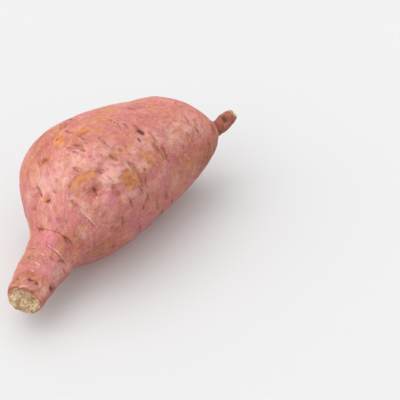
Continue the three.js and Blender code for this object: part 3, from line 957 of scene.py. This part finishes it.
class Finish:
    # Makes the nodes of a material, or of the sky.
    def __init__(self, holder):
        holder.use_nodes = True
        self.holder = holder
        self.tree = holder.node_tree
        self.tree.nodes.clear()

    def add(self, kind, settings, *inputs, out=0, **named):
        node = self.tree.nodes.new(kind)
        for key, value in settings.items():
            setattr(node, key, value)
        free = [s for s in node.inputs if s.enabled]
        for socket, value in zip(free, inputs):
            self.feed(socket, value)
        for key, value in named.items():
            self.feed(next(s for s in free if s.name.replace(" ", "") == key), value)
        given = [s for s in node.outputs if s.enabled]
        return Value(self, given[out]) if given else None

    def feed(self, socket, value):
        if isinstance(value, Value):
            self.tree.links.new(value.socket, socket)
        else:
            socket.default_value = value

    def stored(self, name, out=2):
        return self.add("ShaderNodeAttribute", {"attribute_name": name}, out=out)

    def noise(self, size, along, seed, detail=2, rough=0.5):
        # From 0 to 1, with lumps of a size in mm, drawn out along the root where along is over 1.
        scale = (1 / (size * along), 1 / size, 1 / size)
        where = self.add("ShaderNodeVectorMath", {"operation": "MULTIPLY_ADD"},
                         self.place, scale, (seed * 7.3, seed * 3.1, seed * 5.7))
        return self.add("ShaderNodeTexNoise", {"normalize": True}, Vector=where, Scale=1,
                        Detail=detail, Roughness=rough)

    def cracks(self, size, seed):
        # The distance to the edge between uneven cells of a size in mm, as a share of that size.
        bend = self.add("ShaderNodeTexNoise", {}, Vector=self.place, Scale=1.5 / size, Detail=2.0, out=1)
        where = self.add("ShaderNodeVectorMath", {"operation": "MULTIPLY_ADD"},
                         bend, (size * 0.8, size * 0.8, size * 0.8), self.place)
        shifted = self.add("ShaderNodeVectorMath", {"operation": "ADD"}, where, (seed * 3.7, seed * 1.9, 0))
        return self.add("ShaderNodeTexVoronoi", {"feature": "DISTANCE_TO_EDGE"}, Vector=shifted,
                        Scale=1 / size)

    def rise(self, value, low, high):
        # 0 at low, 1 at high, and smooth between.
        return self.add("ShaderNodeMapRange", {"interpolation_type": "SMOOTHSTEP"}, value,
                        low, high, 0.0, 1.0)

    def mix(self, share, first, second):
        return self.add("ShaderNodeMix", {"data_type": "RGBA"}, share, first, second)


class Coat:
    # A colour, and the shades that are laid over it one after another.
    def __init__(self, f, first):
        self.f = f
        self.colour = f.shades[first]

    def lay(self, shade, share):
        over = self.f.shades[shade] if isinstance(shade, str) else shade.colour
        self.colour = self.f.mix(share, self.colour, over)


def colour(code):
    # A socket's colour from the hex code of the colour as it is seen.
    seen = [int(code[i:i + 2], 16) / 255 for i in (0, 2, 4)]
    return tuple(c / 12.92 if c < 0.04045 else ((c + 0.055) / 1.055) ** 2.4 for c in seen) + (1,)


skinFinish = {
    "pink": "dd8385",
    "pale": "f3b6ac",
    "tan": "bd846c",
    "rosy": "da7c8c",
    "magenta": "c85c7c",
    "salmon": "d77c6c",
    "brown": "b05c48",
    "deepBrown": "8e4732",
    "warm": "da8b5c",
    "gold": "e6a866",
    "fleck": "f8cdbc",
    # painted highlight for the lit mounds:
    "bright": "ffbcad",
    "rubbed": "dd9664",
    "rubbedDark": "c46c3e",
    "fresh": "e08c48",
    "orange": "ea8d48",
    "cork": "cf9470",
    "corkPale": "eec096",
    "corkDark": "9c5e48",
    "slotEdge": "85493a",
    "pit": "463230",
    "pitRim": "7c4a3c",
    "scar": "f4cdb8",
    # painted shade in creases, furrows and round pits:
    "crease": "8a4437",
    "cut": "f3d6ab",
    "cutPale": "ffeac4",
    "cutBrown": "c99566",
    # painted shade between the cork lumps of the cut ends, and in their cracks:
    "cutDark": "8a5c3c",
    "cutRed": "9c5636",
}
skinPatterns = {
    # Size in mm, how far drawn out along the root, seed, detail and roughness.
    "broad": (38, 1.4, 1),
    "clouds": (9, 1.2, 2, 3),
    "tints": (5, 1.3, 9, 3, 0.6),
    "mottle": (2.6, 1.3, 3, 4, 0.65),
    "fibres": (0.7, 4, 4, 3, 0.6),
    "cross": (0.8, 0.4, 5, 3),
    "specks": (0.85, 1, 6),
    "hues": (1.5, 1.4, 7, 4, 0.75),
    "dust": (0.5, 1, 8),
    "ragged": (0.8, 1, 11, 3, 0.6),
    "torn": (2.2, 1.5, 12, 3, 0.6),
    "folds": (2.4, 0.35, 16, 3),
    "patchy": (6, 1, 17),
    "worn": (3.2, 1.2, 21, 3, 0.65),
    "strands": (2.8, 0.2, 18, 3, 0.6),
    "lumps": (1.1, 1, 14, 4, 0.65),
    "patches": (3.6, 1, 20),
    "broken": (2.5, 1, 19),
    "rust": (0.7, 1, 15, 3),
}


def layGround(f, skin):
    # The pink of the skin, its tones with their painted highlight and painted shade, and its mottling from
    # broad clouds down to dust.
    p, on = f.patterns, f.on
    skin.lay("salmon", f.rise(p.broad, 0.36, 0.66))
    skin.lay("rosy", f.rise(on.rosy + 0.5 * p.clouds, 0.2, 1.0) * 0.9)
    # Pale: paler skin, and painted highlight where the skin faces the light.
    skin.lay("pale", f.rise(on.pale + 0.9 * p.clouds + 0.5 * p.mottle, 0.65, 1.5))
    skin.lay("warm", f.rise(on.warm + 0.8 * p.mottle, 0.4, 1.2) * 0.8)
    # Brown and deep brown: browner skin and the brown tail, and painted shade on the lower right, low at the
    # front and in the shoulder's groove.
    skin.lay("brown", f.rise(on.brown + 0.9 * p.mottle + 0.25 * p.fibres, 0.55, 1.5))
    skin.lay("deepBrown", f.rise(on.brown + 0.8 * p.mottle, 1.3, 2.1) * 0.85)
    skin.lay("tan", f.rise(on.tan + 0.6 * p.mottle, 0.5, 1.4) * 0.85)
    cool = 0.5 - 0.35 * f.rise(on.rosy, 0.3, 1.1)           # less gold on rosy skin
    calm = 0.125 + 0.375 * f.rise(on.brown, 1.9, 0.8)       # less magenta on brown skin
    skin.lay("gold", f.rise(p.tints, 0.46, 0.74) * cool)
    skin.lay("magenta", f.rise(p.tints, 0.54, 0.28) * calm)
    skin.lay("gold", f.rise(p.hues, 0.48, 0.72) * cool)
    skin.lay("magenta", f.rise(p.hues, 0.52, 0.3) * calm)
    skin.lay("brown", f.rise(p.mottle + 0.3 * p.fibres, 0.58, 0.88) * 0.6)
    skin.lay("pale", f.rise(p.cross + 0.5 * p.hues, 0.8, 1.0) * 0.5)
    skin.lay("gold", f.rise(p.dust, 0.54, 0.66) * 0.42)
    skin.lay("magenta", f.rise(p.dust, 0.46, 0.32) * 0.4)
    skin.lay("brown", f.rise(p.specks, 0.62, 0.76) * 0.5)
    skin.lay("fleck", f.rise(p.specks, 0.36, 0.25) * 0.3)
    # Deep brown: the tail, and painted shade on the lower right.
    skin.lay("deepBrown", f.rise(on.brown + 0.8 * p.mottle, 1.9, 2.8) * (0.5 + 0.4 * p.hues))
    skin.lay("rosy", f.rise(on.rosy + 0.3 * p.hues, 0.85, 1.5) * 0.5)
    # Pale again: paler skin, and painted highlight on the lit mounds.
    skin.lay("pale", f.rise(on.pale + 0.4 * p.hues, 0.85, 1.45) * 0.45)
    # Painted highlight on the mounds that face the light, where the pale tone is strongest.
    skin.lay("bright", f.rise(on.pale + 0.3 * p.mottle, 1.1, 1.6) * 0.75)


def layPleats(f, skin):
    # Hair-thin pale and dark lines, each kind in its own patches, the dark ones painted shade in their
    # furrows. Gives their height.
    p = f.patterns
    pale = (1 - f.rise((p.folds - 0.46).math("ABSOLUTE"), 0.0, 0.012)) * f.rise(p.patchy, 0.5, 0.62)
    dark = (1 - f.rise((p.folds - 0.55).math("ABSOLUTE"), 0.0, 0.01)) * f.rise(p.patchy, 0.5, 0.38)
    skin.lay("fleck", pale * 0.45)
    skin.lay("crease", dark * 0.25)
    return pale - dark


def layRubs(f, skin):
    # Tan and orange where the outer skin is gone. Gives where.
    p, on = f.patterns, f.on
    onRub = 1 - f.rise(on.rub + p.torn * 2.6 + p.ragged * 1.7, -0.3, 0.12)
    rub = Coat(f, "rubbed")
    rub.lay("rubbedDark", f.rise(p.mottle + 0.5 * p.ragged, 0.44, 0.66))
    rub.lay("fresh", f.rise(p.torn, 0.0, 0.2) * 0.7)
    rub.lay("orange", f.rise(on.warm, 0.6, 1.3) * (0.25 + 0.5 * f.rise(p.hues, 0.4, 0.6)))
    rub.lay("rubbedDark", f.rise(p.worn, 0.52, 0.66) * 0.75)
    bare = 0.4 + 0.6 * f.rise(p.worn + 0.3 * p.ragged, 0.32, 0.48)
    skin.lay(rub, onRub * (0.7 + 0.25 * f.rise(p.mottle, 0.62, 0.4)) * bare)
    return onRub


def laySlots(f, skin):
    # Corky strands in the slots and eyes, with a broken dark edge. Gives where, and the strands.
    p = f.patterns
    slot = f.on.slot + p.ragged * 1.7 + p.torn * 1.1
    onSlot = 1 - f.rise(slot, -0.35, 0.25)
    strands = p.strands + 0.3 * p.ragged
    cork = Coat(f, "cork")
    cork.lay("corkDark", f.rise(strands, 0.46, 0.62))
    cork.lay("corkPale", f.rise(strands, 0.47, 0.36) * 0.9)
    skin.lay("brown", (1 - f.rise(slot, 0.1, 0.9)) * (1 - onSlot) * 0.4)
    skin.lay(cork, onSlot * 0.78)
    edge = f.rise(slot, -0.4, -0.05) * (1 - f.rise(slot, 0.0, 0.35))
    skin.lay("slotEdge", edge * 0.6 * f.rise(p.hues, 0.44, 0.6))
    return onSlot, strands


def layLinesAndPits(f, skin):
    # Creases darkened with painted shade, pale scars and dark pits. Gives where the pits are.
    p, on = f.patterns, f.on
    skin.lay("crease", (1 - f.rise(on.crease + p.ragged * 0.5, -0.3, 0.4)) * 0.8)
    onScar = 1 - f.rise(on.scar + p.ragged * 0.4, -0.25, 0.25)
    skin.lay("scar", onScar * (0.5 + 0.45 * f.rise(p.mottle, 0.35, 0.6)))
    pit = on.pit + p.ragged * 0.9
    onPit = 1 - f.rise(pit, -0.5, 0.15)
    hole = Coat(f, "pitRim")
    hole.lay("pit", f.rise(pit, -0.45, -0.95))
    skin.lay(hole, onPit * 0.85)
    return onPit


def layCutEnds(f, skin):
    # Crumbly cork on the cut ends, with painted shade between its lumps and in its cracks. Gives where, and
    # its height there.
    p, on = f.patterns, f.on
    onCutEnd = f.rise(on.cutEnd + p.ragged * 0.5, 0.3, 0.65)
    crumbs = f.cracks(2.2, seed=1)
    grains = f.cracks(0.9, seed=2)
    cut = Coat(f, "cut")
    cut.lay("cutBrown", f.rise(p.lumps, 0.45, 0.66) * 0.7)
    cut.lay("cutBrown", f.rise(p.patches, 0.5, 0.64) * 0.6)
    cut.lay("cutPale", f.rise(p.patches, 0.47, 0.36) * 0.6)
    cut.lay("cutBrown", f.rise(grains, 0.1, 0.0) * 0.35)
    # Painted shade between the cork lumps and in the cracks between crumbs.
    cut.lay("cutDark", on.hollow * 0.3)
    cut.lay("cutDark", f.rise(crumbs, 0.08, 0.0) * (0.2 + 0.6 * f.rise(p.broken, 0.42, 0.6)))
    cut.lay("cutRed", f.rise(p.rust, 0.56, 0.66) * 0.65)
    skin.lay(cut, onCutEnd)
    return onCutEnd, p.lumps * 0.4 + 0.25 * f.rise(crumbs, 0, 0.2) + 0.08 * f.rise(grains, 0, 0.2)


def makeSkin(looks, patterns, stored):
    f = Finish(bpy.data.materials.new("sweet potato skin"))
    f.place = f.stored("grownPlace", out=1)
    f.shades = {name: colour(code) for name, code in looks.items()}
    f.on = SimpleNamespace(**{name: f.stored(name) for name in stored})
    p = f.patterns = SimpleNamespace(**{name: f.noise(*how) for name, how in patterns.items()})
    p.ragged = p.ragged - 0.5
    p.torn = p.torn - 0.5
    skin = Coat(f, "pink")
    layGround(f, skin)
    pleats = layPleats(f, skin)
    onRub = layRubs(f, skin)
    onSlot, strands = laySlots(f, skin)
    onPit = layLinesAndPits(f, skin)
    onCutEnd, cork = layCutEnds(f, skin)
    rough = 0.46 + 0.2 * p.mottle + 0.25 * onSlot + 0.2 * onRub + 0.3 * onCutEnd
    height = 0.28 * p.mottle + 0.14 * p.fibres + 0.2 * p.cross + 0.06 * p.specks + 0.14 * pleats
    height = height - onSlot * (0.15 + 0.3 * strands) - onRub * 0.06 - onPit * 0.3 + onCutEnd * cork
    bump = f.add("ShaderNodeBump", {}, Strength=1.0, Distance=mm, Height=height)
    shader = f.add("ShaderNodeBsdfPrincipled", {}, BaseColor=skin.colour, Roughness=rough, Normal=bump,
                   SpecularIORLevel=0.45)
    f.add("ShaderNodeOutputMaterial", {}, shader)
    return f.holder


skin.data.materials.append(makeSkin(skinFinish, skinPatterns, storedValues))
print("skin finished")


# Stage: a pale floor of one even tone, under a broad sky, a soft key from behind and a fill from the left.
stageSettings = {
    "floorSide": 24.0,              # m
    "floorColour": "dddddd",
    "sky": 0.795,                   # brightness over the floor, and below the horizon
    "underSky": 0.33,
    "skyRise": (-0.15, 0.0),        # the slope of the directions between which the one turns into the other
    "key": (165, 66, 50, 0.75),     # degrees: azimuth, elevation and angle across, then its strength
    "fill": (-108, 36, 80, 1.2),
}


def addFloor(settings):
    half = settings["floorSide"] / 2
    mesh = bpy.data.meshes.new("floor")
    mesh.from_pydata([(x * half, y * half, 0) for x, y in ((-1, -1), (1, -1), (1, 1), (-1, 1))],
                     [], [(0, 1, 2, 3)])
    floor = bpy.data.objects.new("floor", mesh)
    bpy.context.scene.collection.objects.link(floor)
    floor.visible_diffuse = False   # the light from below the horizon stands for the floor's own
    f = Finish(bpy.data.materials.new("pale floor"))
    shader = f.add("ShaderNodeBsdfPrincipled", {}, BaseColor=colour(settings["floorColour"]), Roughness=0.9,
                   SpecularIORLevel=0.1)
    f.add("ShaderNodeOutputMaterial", {}, shader)
    mesh.materials.append(f.holder)


def addSun(name, azimuth, elevation, angle, strength):
    light = bpy.data.lights.new(name, "SUN")
    light.energy = strength
    light.angle = math.radians(angle)
    lamp = bpy.data.objects.new(name, light)
    lamp.rotation_euler = backFrom(azimuth, elevation).to_track_quat("Z", "Y").to_euler()
    bpy.context.scene.collection.objects.link(lamp)


def addSky(settings):
    f = Finish(bpy.data.worlds.new("studio"))
    direction = f.add("ShaderNodeTexCoord", {})
    height = f.add("ShaderNodeSeparateXYZ", {}, direction, out=2)
    light = f.add("ShaderNodeMapRange", {"interpolation_type": "SMOOTHSTEP"}, height,
                  *settings["skyRise"], settings["underSky"], settings["sky"])
    back = f.add("ShaderNodeBackground", {}, (1, 1, 1, 1), light)
    f.add("ShaderNodeOutputWorld", {}, back)
    bpy.context.scene.world = f.holder


addFloor(stageSettings)
addSun("key", *stageSettings["key"])
addSun("fill", *stageSettings["fill"])
addSky(stageSettings)
bpy.context.scene.view_settings.view_transform = "Standard"
print("stage set")
